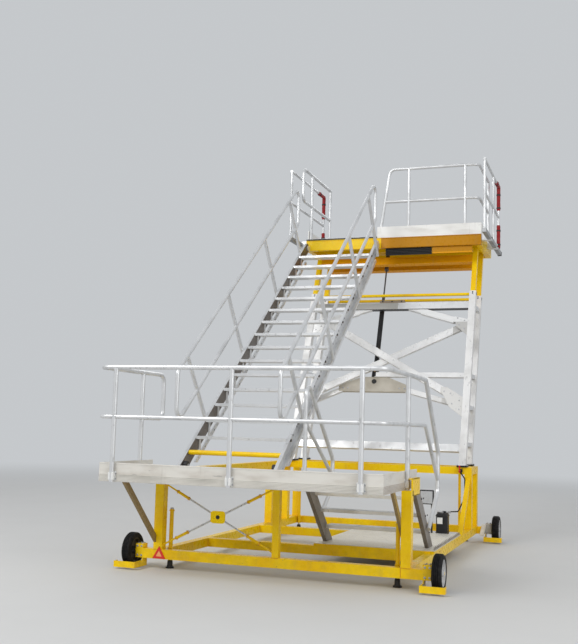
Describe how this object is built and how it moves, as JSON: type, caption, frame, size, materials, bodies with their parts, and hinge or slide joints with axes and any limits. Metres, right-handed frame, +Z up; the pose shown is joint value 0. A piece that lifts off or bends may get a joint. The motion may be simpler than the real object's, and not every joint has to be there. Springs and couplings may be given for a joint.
{
  "type": "variable height access platform",
  "caption": "Wheeled maintenance platform with a low railed landing, a long aluminium stair and an upper platform on a leaning telescopic mast.",
  "frame": {"origin": "on the floor, under the middle of the whole machine's outline at rest", "axes": "+Z up; +Y from the low landing towards the upper platform; +X to the right when seen from the landing's front"},
  "size_m": [3.54, 7.177, 5.678],
  "materials": {
    "yellow_paint": "gloss",
    "bare_aluminium": "satin",
    "off_white_board": "satin",
    "black_paint": "satin",
    "grey_hub": "satin",
    "red_padding": "matte",
    "tyre_rubber": "matte"
  },
  "bodies": {
    "chassis": {"side_rails": "yellow_paint", "cross_rails": "yellow_paint", "chassis_posts": "yellow_paint", "leaning_braces": "yellow_paint", "outriggers": "yellow_paint", "toe_guards": "yellow_paint", "screw_jacks": "yellow_paint", "tie_rods": "yellow_paint", "low_plate_frame": "yellow_paint", "landing_frame": "yellow_paint", "deck_plates": "bare_aluminium", "landing_toe_boards": "off_white_board", "flight_stringers": "bare_aluminium", "flight_treads": "bare_aluminium", "landing_posts": "bare_aluminium", "landing_rails": "bare_aluminium", "landing_mid_rails": "bare_aluminium", "rail_bends": "bare_aluminium", "mast_columns": "bare_aluminium", "mast_feet": "black_paint", "mast_beams": "bare_aluminium", "ram_yoke": "bare_aluminium", "mast_braces": "bare_aluminium", "mast_tie_bars": "yellow_paint", "ram_barrel": "black_paint", "pump_unit": "black_paint", "pump_hose": "black_paint"},
    "platform": {"ram_rod": "black_paint", "inner_columns": "yellow_paint", "inner_beams": "yellow_paint", "platform_frame": "yellow_paint", "platform_deck": "bare_aluminium", "platform_toe_boards": "off_white_board", "platform_posts": "bare_aluminium", "platform_rails": "bare_aluminium", "platform_rail_bends": "bare_aluminium", "guard_sleeves": "bare_aluminium", "stair_hinges": "black_paint"},
    "stair": {"stair_stringers": "bare_aluminium", "stair_treads": "bare_aluminium", "stair_links": "bare_aluminium", "stair_foot": "yellow_paint", "stair_posts": "bare_aluminium", "stair_rails": "bare_aluminium", "stair_rail_bends": "bare_aluminium"},
    "stair_foot_rollers": {"stair_rollers": "black_paint"},
    "side_guard_left": {"side_guard_posts_left": "bare_aluminium", "side_guard_rails_left": "bare_aluminium", "bumpers_left": "red_padding"},
    "side_guard_right": {"side_guard_posts_right": "bare_aluminium", "side_guard_rails_right": "bare_aluminium", "bumpers_right": "red_padding"},
    "wheel_front_left": {"tyre_front_left": "tyre_rubber", "hub_front_left": "grey_hub"},
    "wheel_rear_left": {"tyre_rear_left": "tyre_rubber", "hub_rear_left": "grey_hub"},
    "wheel_front_right": {"tyre_front_right": "tyre_rubber", "hub_front_right": "grey_hub"},
    "wheel_rear_right": {"tyre_rear_right": "tyre_rubber", "hub_rear_right": "grey_hub"}
  },
  "joints": [
    {"name": "platform_lift", "type": "slide", "parent": "chassis", "child": "platform", "axis": [0, 0.342, 0.9397], "range_m": [-0.5, 0.08]},
    {"name": "stair_hinge", "type": "hinge", "parent": "platform", "child": "stair", "pos_m": [-0.7875, 2.0755, 4.4154], "axis": [1, 0, 0], "range_deg": [-6.6, 1.2]},
    {"name": "foot_roller_spin", "type": "hinge", "parent": "stair", "child": "stair_foot_rollers", "pos_m": [-0.7875, -2.1715, 1.088], "axis": [1, 0, 0], "continuous": true},
    {"name": "side_guard_slide_left", "type": "slide", "parent": "platform", "child": "side_guard_left", "axis": [0, 1, 0], "range_m": [-0.35, 0.1]},
    {"name": "side_guard_slide_right", "type": "slide", "parent": "platform", "child": "side_guard_right", "axis": [0, 1, 0], "range_m": [-0.35, 0.1]},
    {"name": "wheel_spin_front_left", "type": "hinge", "parent": "chassis", "child": "wheel_front_left", "pos_m": [-1.67, -2.7015, 0.184], "axis": [1, 0, 0], "continuous": true},
    {"name": "wheel_spin_rear_left", "type": "hinge", "parent": "chassis", "child": "wheel_rear_left", "pos_m": [-1.67, 1.8535, 0.184], "axis": [1, 0, 0], "continuous": true},
    {"name": "wheel_spin_front_right", "type": "hinge", "parent": "chassis", "child": "wheel_front_right", "pos_m": [1.67, -2.7015, 0.184], "axis": [1, 0, 0], "continuous": true},
    {"name": "wheel_spin_rear_right", "type": "hinge", "parent": "chassis", "child": "wheel_rear_right", "pos_m": [1.67, 1.8535, 0.184], "axis": [1, 0, 0], "continuous": true}
  ],
  "couplings": [
    {"joint": "stair_hinge", "follows": "platform_lift", "rad_per_m": 0.213}
  ]
}
